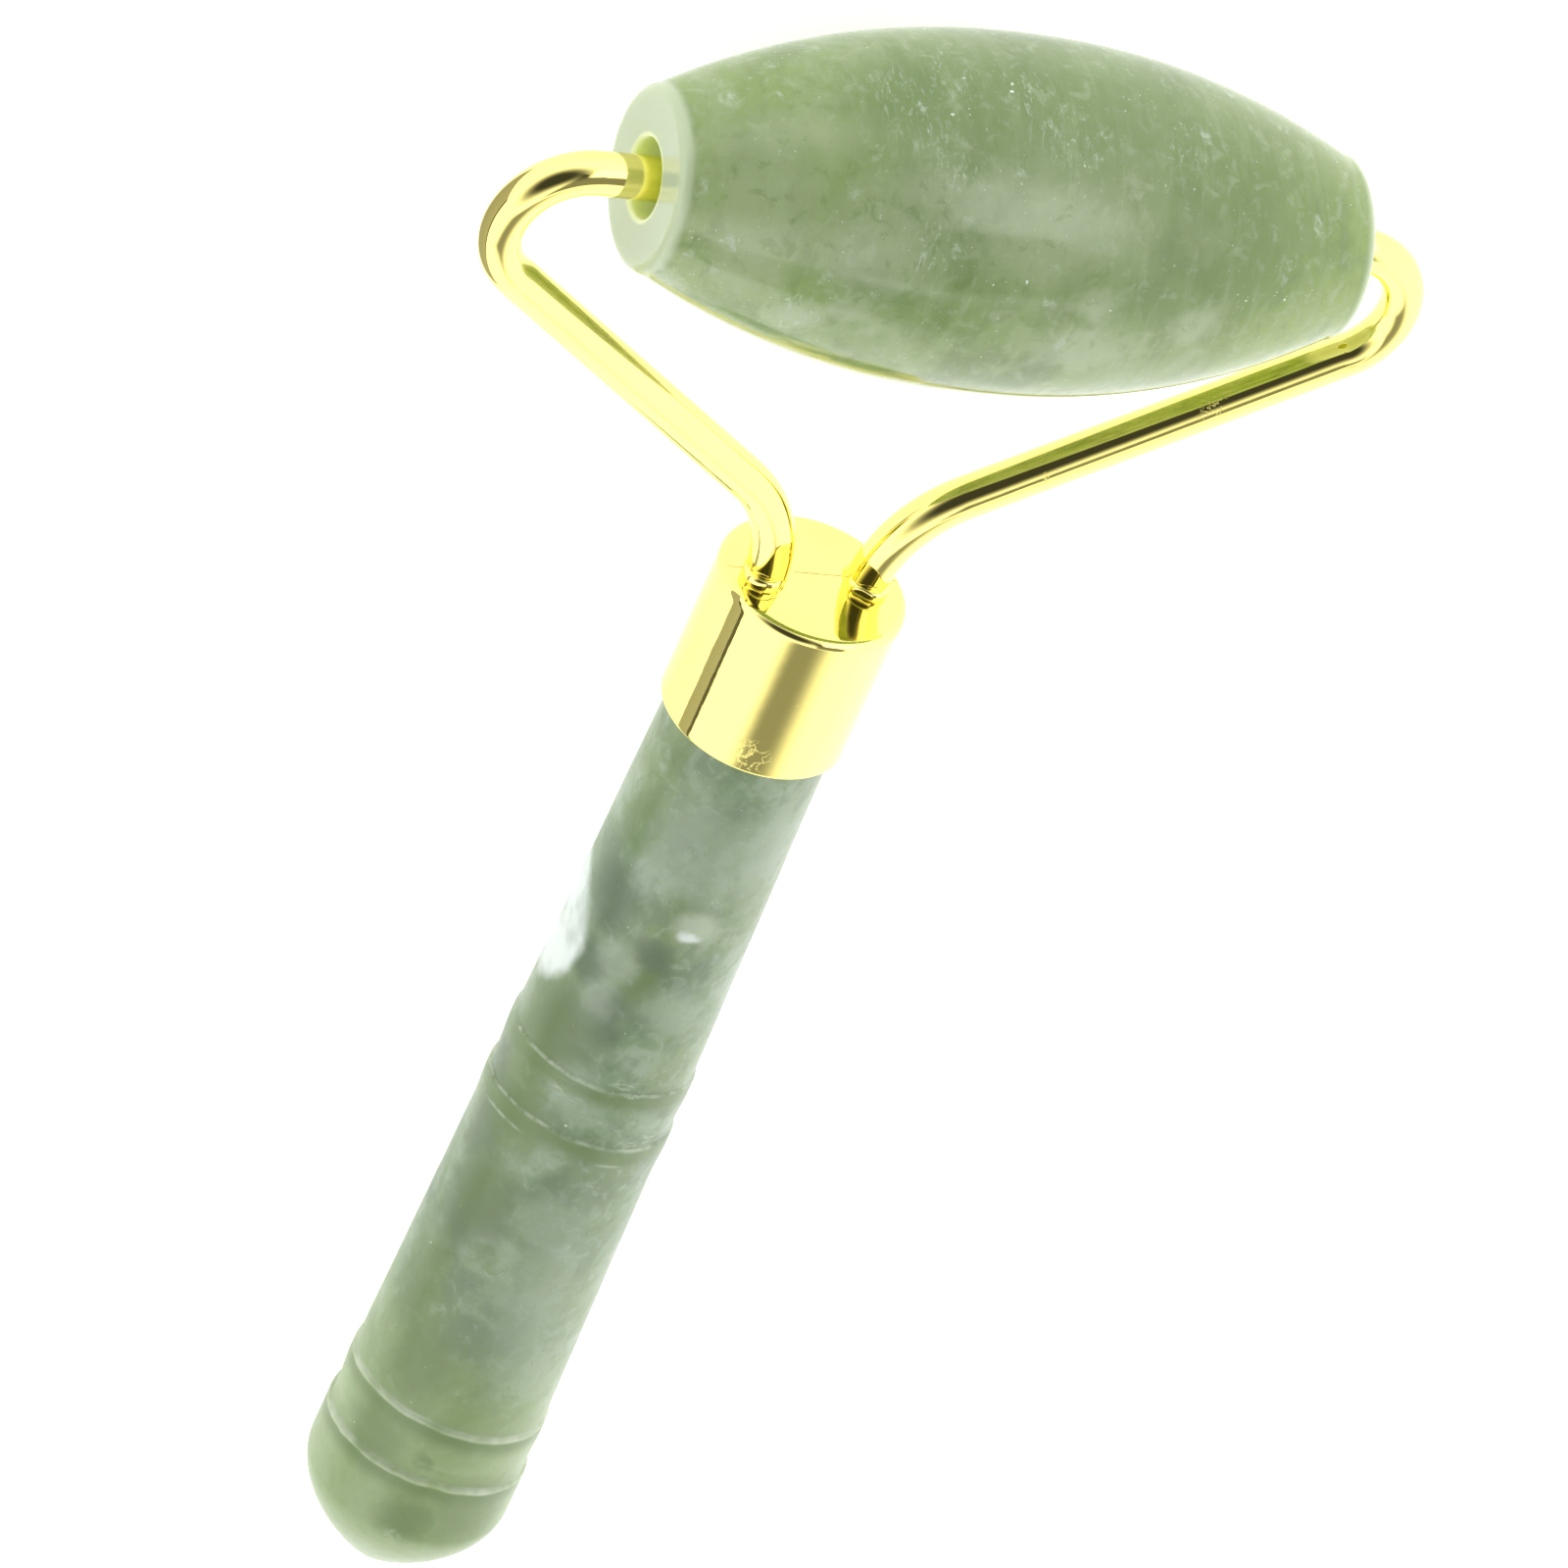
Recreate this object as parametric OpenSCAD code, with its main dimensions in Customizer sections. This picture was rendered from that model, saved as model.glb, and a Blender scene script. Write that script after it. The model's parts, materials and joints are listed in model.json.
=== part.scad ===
// Jade face roller: a barrel-shaped stone that spins between two springy wire arms, which
// stand in a polished ferrule on the end of a tapered stone handle.
//
// The roller lies on a table. +X runs along the roller stone's axis, +Y along the handle from
// its tip towards the roller stone, and +Z is up. The origin is on the table, under the middle
// of the whole object. The handle slopes a little, because the roller stone is the thicker end.
// Dimensions are in millimetres.

/* [Roller stone] */
// Length of the roller stone
stone_len = 50; // [46:0.5:52]
// Diameter of the roller stone at its middle
stone_d = 23.8; // [20:0.2:27]
// Diameter of the roller stone at its flat ends
stone_end_d = 11.8; // [9.4:0.2:14]
// Power of the roller stone's outline: 2 is a parabola, more is straighter at the middle
stone_power = 2.12; // [1.8:0.02:2.6]
// Diameter of the hole along the roller stone
stone_bore_d = 5.3; // [4.8:0.1:6.4]
// How far the roller stone has slid along its pins, towards the right arm
roller_slide = 0.8; // [0:0.1:1]

/* [Bushes] */
// Length of a bush, its closed end included
bush_len = 9; // [7:0.5:11]
// Depth of a bush behind the end of the roller stone
bush_recess = 2.2; // [1:0.1:4]
// Clearance between an arm's pin and its bush, on the radius
pin_clearance = 0.05; // [0.03:0.01:0.08]

/* [Arms] */
// Diameter of the wire
wire_d = 3; // [2.6:0.1:3.2]
// Width of the fork across the outside of the arms
fork_w = 67.6; // [66:0.2:72]
// Height of the roller stone's axis above the ferrule
fork_h = 32.7; // [31:0.1:38]
// Radius of the bend beside the roller stone, to the middle of the wire
hook_bend_r = 5; // [4.2:0.1:5.4]
// Radius of the bend above the ferrule, to the middle of the wire
foot_bend_r = 10; // [8:0.2:11]
// Distance between the feet of the two arms
feet_spacing = 7.4; // [6.4:0.1:7.6]

/* [Ferrule] */
// Outer diameter of the ferrule
ferrule_d = 13.3; // [13:0.1:14]
// Length of the ferrule
ferrule_len = 12.2; // [10:0.1:14]
// Thickness of the ferrule's wall
ferrule_wall = 0.6; // [0.4:0.05:0.6]
// Thickness of the ferrule's closed top
ferrule_top = 0.8; // [0.6:0.1:1.2]
// Rounding of the ferrule's top edge
ferrule_edge_r = 0.45; // [0.2:0.05:0.55]

/* [Handle stone] */
// Length of the handle stone from the ferrule's rim to its tip
grip_len = 81.7; // [76:0.1:92]
// Diameter of the handle stone where it enters the ferrule
neck_d = 11.8; // [11:0.1:12]
// Diameter of the last band, before the pointed end
band_d = 14.8; // [14:0.1:16]
// Length of the pointed end
point_len = 9.2; // [7:0.1:11]
// Height of a carved ring's edge above the stone before it
ring_step = 0.16; // [0.08:0.02:0.3]
// Distance of the upper pair of carved rings from the tip
upper_rings = 51.1; // [40:0.1:56]
// Distance between the two rings of the upper pair
upper_ring_gap = 4.9; // [3.8:0.1:5]
// Distance of the lower pair of carved rings from the tip
lower_rings = 18.3; // [17.6:0.1:22]
// Distance between the two rings of the lower pair
lower_ring_gap = 5; // [4:0.1:5.2]

/* [Hidden] */
$fn = 96;

jade = "darkseagreen";
gold = "gold";

wire_r = wire_d / 2;
foot_x = feet_spacing / 2;

// Roller stone
stone_r = stone_d / 2;
stone_end_r = stone_end_d / 2;
stone_bore_r = stone_bore_d / 2;
stone_steps = 48;
stone_edge = 0.3;
bore_chamfer = 0.3;

// Bushes: cups whose closed ends stop the roller stone from sliding further on the pins
bush_inner_x = stone_len / 2 - bush_recess - bush_len;
bush_floor = 1.5;
pin_end_gap = 0.15;
pin_end_x = bush_inner_x + bush_floor + roller_slide + pin_end_gap;
pin_chamfer = 0.3;

// The wire's path, in the fork's own plane: the leg is the tangent between its two bends
hook_x = fork_w / 2 - wire_r - hook_bend_r;
hook_y = fork_h - hook_bend_r;
foot_bend_x = foot_x + foot_bend_r;
bends_apart = norm([hook_x - foot_bend_x, hook_y]);
leg_slope = atan2(hook_y, hook_x - foot_bend_x)
    - asin((hook_bend_r + foot_bend_r) / bends_apart);
leg_len = sqrt(bends_apart ^ 2 - (hook_bend_r + foot_bend_r) ^ 2);
foot_depth = 3.2;

// Solder beads
bead_h = 0.9;
bead_w = 0.35;

// Ferrule and what it holds
ferrule_r = ferrule_d / 2;
cavity_r = ferrule_r - ferrule_wall;
tenon_r = neck_d / 2;
tenon_start = 3.8;
glue_rim_gap = 0.4;

// Handle stone, measured down the handle from the ferrule's top
tip = ferrule_len + grip_len;
shoulder = tip - point_len;
band_r = band_d / 2;
ring_places = [tip - upper_rings, tip - upper_rings + upper_ring_gap,
               tip - lower_rings, tip - lower_rings + lower_ring_gap];
ring_run = 0.35;
ring_dip = 0.03;
ring_fade = 3;
point_power = 1.25;
point_steps = 20;

// How it lies: the last band's lower end and the roller stone both touch the table
band_to_axis = fork_h + shoulder;
lie_angle = asin(stone_r / norm([band_to_axis, band_r])) - atan2(band_r, band_to_axis);
axis_y = ((fork_h + tip) * cos(lie_angle) - stone_r) / 2;

// The fork's own frame has its origin at the middle of the ferrule's top, with +Y towards the
// roller stone. This lays it on the table.
module lying() {
    translate([0, axis_y, stone_r]) rotate([lie_angle, 0, 0]) translate([0, -fork_h, 0])
        children();
}

// Turns +Z into the direction down the handle
module down_handle() {
    rotate([90, 0, 0]) children();
}

// Turns +Z into +X along the roller stone's axis
module along_axis() {
    translate([0, fork_h, 0]) rotate([0, 90, 0]) children();
}

// Where the roller stone has slid to
module slid() {
    translate([roller_slide, 0, 0]) children();
}

// Turns the right side half way round the handle to make the left, as both lie flat
module on_side(side) {
    rotate([0, side < 0 ? 180 : 0, 0]) children();
}

// Radius of the roller stone at x from its middle
function stone_radius(x) =
    stone_r - (stone_r - stone_end_r) * abs(2 * x / stone_len) ^ stone_power;

module roller_stone() {
    half = stone_len / 2;
    last_x = half - stone_edge;
    xs = [for (i = [-stone_steps:stone_steps]) last_x * i / stone_steps];
    color(jade) lying() slid() along_axis() difference() {
        rotate_extrude() polygon(concat(
            [[0, -half], [stone_end_r - stone_edge, -half]],
            [for (x = xs) [stone_radius(x), x]],
            [[stone_end_r - stone_edge, half], [0, half]]
        ));
        translate([0, 0, -half - 1]) cylinder(r = stone_bore_r, h = stone_len + 2);
        for (end = [0, 1]) mirror([0, 0, end])
            translate([0, 0, half - bore_chamfer])
                cylinder(r1 = stone_bore_r, r2 = stone_bore_r + 2 * bore_chamfer,
                         h = 2 * bore_chamfer);
    }
}

module bush(side) {
    color("ivory") lying() slid() on_side(side) along_axis()
        translate([0, 0, bush_inner_x]) difference() {
            cylinder(r = stone_bore_r, h = bush_len);
            translate([0, 0, bush_floor])
                cylinder(r = wire_r + pin_clearance, h = bush_len);
        }
}

// A bend in the wire, about the origin, from one angle to another
module wire_bend(bend_r, from, to) {
    rotate([0, 0, from]) rotate_extrude(angle = to - from)
        translate([bend_r, 0]) circle(r = wire_r, $fn = 48);
}

// The right arm: pin, bend, leg, bend and foot
module arm_wire() {
    along_axis() translate([0, 0, pin_end_x]) {
        cylinder(r1 = wire_r - pin_chamfer, r2 = wire_r, h = pin_chamfer);
        translate([0, 0, pin_chamfer])
            cylinder(r = wire_r, h = hook_x - pin_end_x - pin_chamfer);
    }
    translate([hook_x, hook_y, 0]) wire_bend(hook_bend_r, leg_slope - 90, 90);
    translate([foot_bend_x, 0, 0]) {
        wire_bend(foot_bend_r, leg_slope + 90, 180);
        translate(foot_bend_r * [-sin(leg_slope), cos(leg_slope), 0])
            rotate([0, 90, leg_slope]) cylinder(r = wire_r, h = leg_len);
    }
    foot();
}

// The right arm's foot, which passes through the ferrule's top, from a height above it
module foot(above = 0) {
    translate([foot_x, above, 0]) down_handle() cylinder(r = wire_r, h = foot_depth + above);
}

// Both feet, long enough to cut the holes that they fill
module feet() {
    for (side = [-1, 1]) on_side(side) foot(above = 1);
}

module arm(side) {
    color(gold) lying() on_side(side) arm_wire();
}

// A low bead of solder around a foot, with a rounded top
module solder(side) {
    bead_r = wire_r + bead_w;
    color(gold) lying() on_side(side) translate([foot_x, 0, 0]) rotate([-90, 0, 0])
        rotate_extrude() {
            translate([wire_r, 0]) square([bead_w, bead_h - bead_w]);
            translate([wire_r, bead_h - bead_w]) intersection() {
                circle(r = bead_w, $fn = 32);
                square(bead_w);
            }
        }
}

module ferrule() {
    color(gold) lying() difference() {
        down_handle() rotate_extrude() {
            square([ferrule_r - ferrule_edge_r, ferrule_len]);
            translate([0, ferrule_edge_r])
                square([ferrule_r, ferrule_len - ferrule_edge_r]);
            translate([ferrule_r - ferrule_edge_r, ferrule_edge_r])
                circle(r = ferrule_edge_r, $fn = 32);
        }
        translate([0, -ferrule_top, 0]) down_handle() cylinder(r = cavity_r, h = ferrule_len);
        feet();
    }
}

// The glue between the ferrule, the feet and the handle stone's top
module glue() {
    color("wheat") lying() difference() {
        translate([0, -ferrule_top, 0]) down_handle()
            cylinder(r = cavity_r, h = ferrule_len - ferrule_top - glue_rim_gap);
        translate([0, -tenon_start, 0]) down_handle() cylinder(r = tenon_r, h = ferrule_len);
        feet();
    }
}

// Radius of the handle stone's plain taper, at d down the handle
function grip_radius(d) =
    tenon_r + (band_r - ring_step - tenon_r) * (d - ferrule_len) / (shoulder - ferrule_len);

module handle_stone() {
    bands = len(ring_places) - 1;
    last_ring = ring_places[bands];
    color(jade) lying() down_handle() rotate_extrude() polygon(concat(
        [[0, tenon_start], [tenon_r, tenon_start], [tenon_r, ferrule_len]],
        // each of the first rings steps up and fades back to the taper
        [for (i = [0:bands - 1]) let (d = ring_places[i]) each [
            [grip_radius(d) - ring_dip, d - ring_run / 2],
            [grip_radius(d) + ring_step, d + ring_run / 2],
            [grip_radius(d) + ring_step, d + ring_run * 3],
            [grip_radius(d + ring_fade), d + ring_fade]
        ]],
        // the last ring steps up to a cylinder that ends at the shoulder
        [[grip_radius(last_ring) - ring_dip, last_ring - ring_run / 2],
         [band_r, last_ring + ring_run / 2]],
        // the pointed end is a quarter of a superellipse
        [for (i = [0:point_steps]) let (a = 90 * i / point_steps) [
            band_r * cos(a) ^ (2 / point_power),
            shoulder + point_len * sin(a) ^ (2 / point_power)
        ]]
    ));
}

roller_stone();
bush(-1);  // bush_left
bush(1);  // bush_right
arm(-1);  // arm_left
arm(1);  // arm_right
solder(-1);  // solder_left
solder(1);  // solder_right
ferrule();
glue();
handle_stone();
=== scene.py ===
"""Jade face roller lying on a pale floor: the looks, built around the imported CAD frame."""
import json
import math

import bmesh
import bpy
import numpy as np
from mathutils import Matrix, Vector, noise


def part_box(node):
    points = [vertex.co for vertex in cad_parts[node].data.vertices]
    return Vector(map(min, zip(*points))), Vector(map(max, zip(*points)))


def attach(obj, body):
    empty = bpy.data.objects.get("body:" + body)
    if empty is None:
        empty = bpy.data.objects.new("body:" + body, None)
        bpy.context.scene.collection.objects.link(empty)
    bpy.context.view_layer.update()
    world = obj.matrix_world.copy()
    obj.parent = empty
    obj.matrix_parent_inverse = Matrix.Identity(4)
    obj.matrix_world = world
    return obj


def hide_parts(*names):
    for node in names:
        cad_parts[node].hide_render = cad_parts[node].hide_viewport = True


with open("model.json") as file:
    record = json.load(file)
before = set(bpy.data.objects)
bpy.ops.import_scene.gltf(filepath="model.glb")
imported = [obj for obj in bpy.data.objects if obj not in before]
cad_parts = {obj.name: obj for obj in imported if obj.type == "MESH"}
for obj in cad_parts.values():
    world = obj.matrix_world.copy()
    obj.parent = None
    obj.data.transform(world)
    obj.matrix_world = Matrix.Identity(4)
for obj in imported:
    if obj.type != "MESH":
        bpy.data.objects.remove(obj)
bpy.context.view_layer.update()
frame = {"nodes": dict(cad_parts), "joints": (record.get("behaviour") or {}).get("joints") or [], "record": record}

MM = 0.001
HANDLE = "handle"
ROLLER = "roller"

# ------------------------------------------------------------------ places, from the frame
# Single lengths are in millimetres, here and further down. Boxes, points and matrices that come
# from the frame are in metres.
spin = frame["joints"][0]
spin_centre = Vector(spin["pos_m"])
mounts = {m["name"]: m for m in frame["record"]["mounts"]}
down_handle = Vector(mounts["handle_end"]["axis"]).normalized()
lie_cos = -down_handle.y
lie_sin = -down_handle.z

ferrule_low, ferrule_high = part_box("ferrule")
ferrule_r = (ferrule_high.x - ferrule_low.x) / 2 / MM
ferrule_top_y = ferrule_high.y / MM - ferrule_r * lie_sin
fork_h = (spin_centre.y / MM - ferrule_top_y) / lie_cos
ferrule_len = ((ferrule_high.y - ferrule_low.y) / MM - 2 * ferrule_r * lie_sin) / lie_cos
tip = (spin_centre.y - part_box("handle_stone")[0].y) / MM / lie_cos - fork_h
fork_w = 2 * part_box("arm_right")[1].x / MM
stone_low, stone_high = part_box("roller_stone")
stone_half = (stone_high.x - stone_low.x) / 2 / MM
stone_r = (stone_high.z - stone_low.z) / 2 / MM
bush_low, bush_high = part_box("bush_right")
bush_r = (bush_high.z - bush_low.z) / 2 / MM
band_r = mounts["handle_end"]["dims"]["r_mm"]

# The fork's own frame: origin at the middle of the ferrule's top, +Y towards the roller stone
fork_y = -down_handle
fork_z = Vector((1, 0, 0)).cross(fork_y)
FORK = Matrix.Translation(spin_centre + down_handle * fork_h * MM) @ Matrix((
    (1, fork_y.x, fork_z.x),
    (0, fork_y.y, fork_z.y),
    (0, fork_y.z, fork_z.z),
)).to_4x4()
# The roller stone's own frame: origin at its middle, +X along its axis
slide = (stone_low.x + stone_high.x) / 2 / MM
STONE = Matrix.Translation(spin_centre + Vector((slide * MM, 0, 0)))

# ------------------------------------------------------------------ sizes, as in the CAD
WIRE_R = 1.5
HOOK_BEND_R = 5.0
FOOT_BEND_R = 10.0
FOOT_X = 3.7
FOOT_DEPTH = 3.2
FERRULE_WALL = 0.6
FERRULE_TOP = 0.8
STONE_END_R = 5.9
STONE_POWER = 2.12
BORE_EDGE = 0.3
TENON_R = 5.9
TENON_START = 3.8
POINT_LEN = 9.2
RING_STEP = 0.16
RING_RUN = 0.35
RINGS_FROM_TIP = (51.1, 46.2, 18.3, 13.3)

# ------------------------------------------------------------------ sizes that differ from the CAD
# Rounder edges, another curve for the handle's point, and rings that fade out 1 mm further on,
# have no dip before them, and sag to one side
FERRULE_EDGE_R = 0.65
STONE_EDGE = 0.8
POINT_ROUND = 1.7
POINT_POWER = 1.1
RING_HOLD = 1.0
RING_FADE = 3.0
SAG_ANGLE = math.radians(120)
RING_SAG = (1.0, 1.0, 1.1, 1.1)

shoulder = tip - POINT_LEN
rings = [tip - d for d in RINGS_FROM_TIP]


def smooth(value, low, high):
    """0 at low, 1 at high, and a smooth step between. low may be the larger of the two."""
    t = np.clip((np.asarray(value, float) - low) / (high - low), 0, 1)
    return t * t * (3 - 2 * t)


def bumpy(x, y, z, scale, seed):
    """Smooth noise from -1 to 1 at points in millimetres, with features about scale wide."""
    flat = np.stack(np.broadcast_arrays(x, y, z), -1).reshape(-1, 3) / scale + seed * 17.3
    values = [noise.noise(Vector(p)) for p in flat]
    return np.array(values).reshape(np.broadcast(x, y, z).shape)


# ------------------------------------------------------------------ making pieces
def piece(name, points, faces, place, body, node, material, ring_marks=None, sharp=35):
    """A smooth-shaded mesh that stands for a CAD node and rides on a body."""
    mesh = bpy.data.meshes.new(name)
    mesh.from_pydata((np.asarray(points) * MM).tolist(), [], faces)
    if ring_marks is not None:
        attribute = mesh.attributes.new("ring_marks", "FLOAT", "POINT")
        attribute.data.foreach_set("value", np.asarray(ring_marks, np.float32).ravel())
    shell = bmesh.new()
    shell.from_mesh(mesh)
    bmesh.ops.recalc_face_normals(shell, faces=shell.faces)
    shell.to_mesh(mesh)
    shell.free()
    mesh.shade_smooth()
    mesh.set_sharp_from_angle(angle=math.radians(sharp))
    mesh.materials.append(material)
    made = bpy.data.objects.new(name, mesh)
    bpy.context.scene.collection.objects.link(made)
    made.matrix_world = place
    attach(made, body)
    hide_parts(node)
    return made


def lathe(outline, segments, axis, closed=False, shift=None):
    """Turns an outline of (radius, along) points about an axis.

    axis is "down" for down the handle or "across" for along the roller stone's axis. A closed
    outline makes a ring; an open one starts and ends on the axis. shift(angle, radius, along)
    returns how far each point moves outwards and along. Returns points and faces.
    """
    outline = np.asarray(outline, float)
    inner = outline if closed else outline[1:-1]
    angle = np.linspace(0, 2 * math.pi, segments, endpoint=False)[None, :]
    radius = np.repeat(inner[:, :1], segments, 1)
    along = np.repeat(inner[:, 1:], segments, 1)
    if shift is not None:
        outwards, onwards = shift(angle, radius, along)
        radius = radius + outwards
        along = along + onwards
    turned = radius * np.cos(angle), radius * np.sin(angle)
    if axis == "down":
        grid = np.stack([turned[0], -along, turned[1]], -1)
    else:
        grid = np.stack([along, turned[0], turned[1]], -1)
    rows = len(inner)
    points = grid.reshape(-1, 3)
    faces = []
    for i in range(rows if closed else rows - 1):
        a, b = i * segments, (i + 1) % rows * segments
        for j in range(segments):
            k = (j + 1) % segments
            faces.append((a + j, a + k, b + k, b + j))
    if not closed:
        ends = outline[[0, -1], 1]
        poles = [[0, -e, 0] if axis == "down" else [e, 0, 0] for e in ends]
        points = np.vstack([points, poles])
        first, last = len(points) - 2, len(points) - 1
        for j in range(segments):
            k = (j + 1) % segments
            faces.append((first, k, j))
            faces.append((last, (rows - 1) * segments + j, (rows - 1) * segments + k))
    return points, faces


def arc(centre, radius, start, end, steps):
    """Points on a circle about centre, from one angle to another in degrees."""
    turn = np.radians(np.linspace(start, end, steps + 1))
    return [(centre[0] + radius * math.cos(t), centre[1] + radius * math.sin(t)) for t in turn]


# ------------------------------------------------------------------ node graphs
class Graph:
    """The node tree of a material or world, with short calls for the nodes used here."""

    def __init__(self, owner):
        owner.use_nodes = True
        self.owner = owner
        self.tree = owner.node_tree
        self.tree.nodes.clear()

    def add(self, kind, settings=(), **inputs):
        node = self.tree.nodes.new(kind)
        for key, value in dict(settings).items():
            setattr(node, key, value)
        for key, value in inputs.items():
            self.put(node.inputs[key.replace("_", " ")], value)
        return node

    def put(self, socket, value):
        if isinstance(value, bpy.types.NodeSocket):
            self.tree.links.new(value, socket)
        else:
            socket.default_value = value

    def maths(self, operation, *values, clamp=False):
        node = self.add("ShaderNodeMath", {"operation": operation, "use_clamp": clamp})
        for socket, value in zip(node.inputs, values):
            self.put(socket, value)
        return node.outputs[0]

    def vector(self, operation, *values):
        node = self.add("ShaderNodeVectorMath", {"operation": operation})
        for socket, value in zip(node.inputs, values):
            self.put(socket, value)
        return node.outputs["Value" if operation in ("LENGTH", "DOT_PRODUCT") else "Vector"]

    def step(self, value, low, high, bottom=0.0, top=1.0):
        node = self.add("ShaderNodeMapRange", {"interpolation_type": "SMOOTHSTEP"})
        for socket, given in zip(node.inputs, (value, low, high, bottom, top)):
            self.put(socket, given)
        return node.outputs[0]

    def both(self, *masks):
        """The product of masks."""
        product = masks[0]
        for mask in masks[1:]:
            product = self.maths("MULTIPLY", product, mask)
        return product

    def either(self, *masks):
        """The strongest of masks."""
        strongest = masks[0]
        for mask in masks[1:]:
            strongest = self.maths("MAXIMUM", strongest, mask)
        return strongest

    def mix(self, factor, first, second):
        """A colour between two, which may be tuples of three."""
        node = self.add("ShaderNodeMix", {"data_type": "RGBA"})
        self.put(node.inputs[0], factor)
        for socket, colour in zip((node.inputs[6], node.inputs[7]), (first, second)):
            self.put(socket, (*colour, 1) if isinstance(colour, tuple) else colour)
        return node.outputs[2]

    def place(self, stretch=(1, 1, 1), offset=(0, 0, 0)):
        """The piece's own coordinates in millimetres, stretched and moved."""
        own = self.add("ShaderNodeTexCoord").outputs["Object"]
        node = self.add("ShaderNodeMapping", Vector=own, Location=offset,
                        Scale=tuple(s / MM for s in stretch))
        return node.outputs[0]

    def axes(self, where):
        return self.add("ShaderNodeSeparateXYZ", Vector=where).outputs

    def noise(self, where, scale, detail=2.0, rough=0.5, warp=0.0):
        node = self.add("ShaderNodeTexNoise", Vector=where, Scale=scale, Detail=detail,
                        Roughness=rough, Distortion=warp)
        return node.outputs["Fac"]

    def warped(self, where, scale, amount, detail=2.0):
        """where, pushed about by smooth noise by up to about half of amount."""
        push = self.add("ShaderNodeTexNoise", Vector=where, Scale=scale, Detail=detail)
        centred = self.vector("SUBTRACT", push.outputs["Color"], (0.5, 0.5, 0.5))
        return self.vector("MULTIPLY_ADD", centred, (amount, amount, amount), where)

    def blot(self, where, centre, reach, soft=0.5):
        """1 inside an ellipsoid, fading to 0 around its edge."""
        apart = self.vector("SUBTRACT", where, centre)
        far = self.vector("LENGTH", self.vector("DIVIDE", apart, reach))
        return self.step(far, 1 + soft, 1 - soft)

    def spots(self, where, scale, size, share):
        """Round spots in a share of the cells of a random pattern."""
        cells = self.add("ShaderNodeTexVoronoi", {"feature": "F1"}, Vector=where, Scale=scale)
        spot = self.step(cells.outputs["Distance"], size, size * 0.4)
        pick = self.add("ShaderNodeSeparateColor", Color=cells.outputs["Color"]).outputs[0]
        return self.both(spot, self.step(pick, 1 - share, 1.04 - share))

    def veins(self, where, scale, width, detail=3.0):
        """Thin wandering lines, where smooth noise crosses its middle."""
        level = self.maths("SUBTRACT", self.noise(where, scale, detail, 0.55, 0.4), 0.5)
        return self.step(self.maths("ABSOLUTE", level), width, width * 0.3)

    def ramp(self, value, stops):
        node = self.add("ShaderNodeValToRGB", Fac=value)
        bar = node.color_ramp
        bar.interpolation = "EASE"
        while len(bar.elements) < len(stops):
            bar.elements.new(1.0)
        for element, (place, colour) in zip(bar.elements, stops):
            element.position = place
            element.color = (*colour, 1)
        return node.outputs[0]

    def bump(self, height, distance, strength=1.0, under=None):
        node = self.add("ShaderNodeBump", Height=height, Distance=distance * MM,
                        Strength=strength)
        if under is not None:
            self.put(node.inputs["Normal"], under)
        return node.outputs[0]

    def ring_marks(self):
        return self.add("ShaderNodeAttribute", {"attribute_name": "ring_marks"}).outputs["Fac"]

    def surface(self, **inputs):
        shader = self.add("ShaderNodeBsdfPrincipled")
        for key, value in inputs.items():
            self.put(shader.inputs[key.replace("_", " ")], value)
        out = self.add("ShaderNodeOutputMaterial")
        self.tree.links.new(shader.outputs[0], out.inputs["Surface"])
        return self.owner


# ------------------------------------------------------------------ materials
def stone_radius(x):
    """Radius of the roller stone at x from its middle."""
    return stone_r - (stone_r - STONE_END_R) * np.abs(x / stone_half) ** STONE_POWER


def grip_radius(d):
    """Radius of the handle stone's plain taper, at d down the handle."""
    return TENON_R + (band_r - RING_STEP - TENON_R) * (d - ferrule_len) / (shoulder - ferrule_len)


def on_roller(x, angle):
    """A place on the roller stone's surface, angle from +Y towards +Z in degrees."""
    r = float(stone_radius(x))
    return x, r * math.cos(math.radians(angle)), r * math.sin(math.radians(angle))


def on_handle(d, angle):
    """A place on the handle stone's surface at d down it, angle from +X towards +Z in degrees."""
    r = float(grip_radius(d))
    return r * math.cos(math.radians(angle)), -d, r * math.sin(math.radians(angle))


def jade_finish(g, own, colour, flaws, low, high, sheen):
    """The shader of polished jade: translucent, with soft grazing light.

    low and high are the roughness of its smoothest and dullest parts.
    """
    grain = g.noise(own, 1.6, 6, 0.6)
    rough = g.maths("ADD", g.step(grain, 0.3, 0.75, low, high), g.both(flaws, 0.2))
    relief = g.bump(g.noise(own, 0.35, 3, 0.5), 0.03, 0.3)
    relief = g.bump(flaws, 0.006, 0.3, under=relief)
    return g.surface(
        Base_Color=colour, Roughness=rough, Normal=relief, IOR=1.56,
        Subsurface_Weight=0.85, Subsurface_Radius=(1.0, 1.05, 0.7), Subsurface_Scale=2.0 * MM,
        Sheen_Weight=sheen, Sheen_Roughness=0.4,
    )


def crystal_specks(g, own, share):
    """Tiny white crystals, gathered in clusters, with a few soft smudges between them."""
    gather = g.step(g.noise(own, 0.26, 5, 0.7), 0.47, 0.62)
    fine = g.both(g.spots(g.warped(own, 3.0, 0.3), 2.2, 0.17, share), 0.75)
    large = g.spots(g.warped(own, 2.0, 0.4), 0.9, 0.13, share * 0.6)
    faint = g.both(g.spots(own, 1.6, 0.2, share * 0.5), 0.35)
    smudge = g.spots(g.warped(own, 1.1, 1.6, 5), 0.34, 0.26, share)
    torn = g.step(g.noise(own, 1.9, 7, 0.8), 0.42, 0.62)
    return g.both(g.either(fine, large, faint), gather), g.both(smudge, torn)


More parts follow.
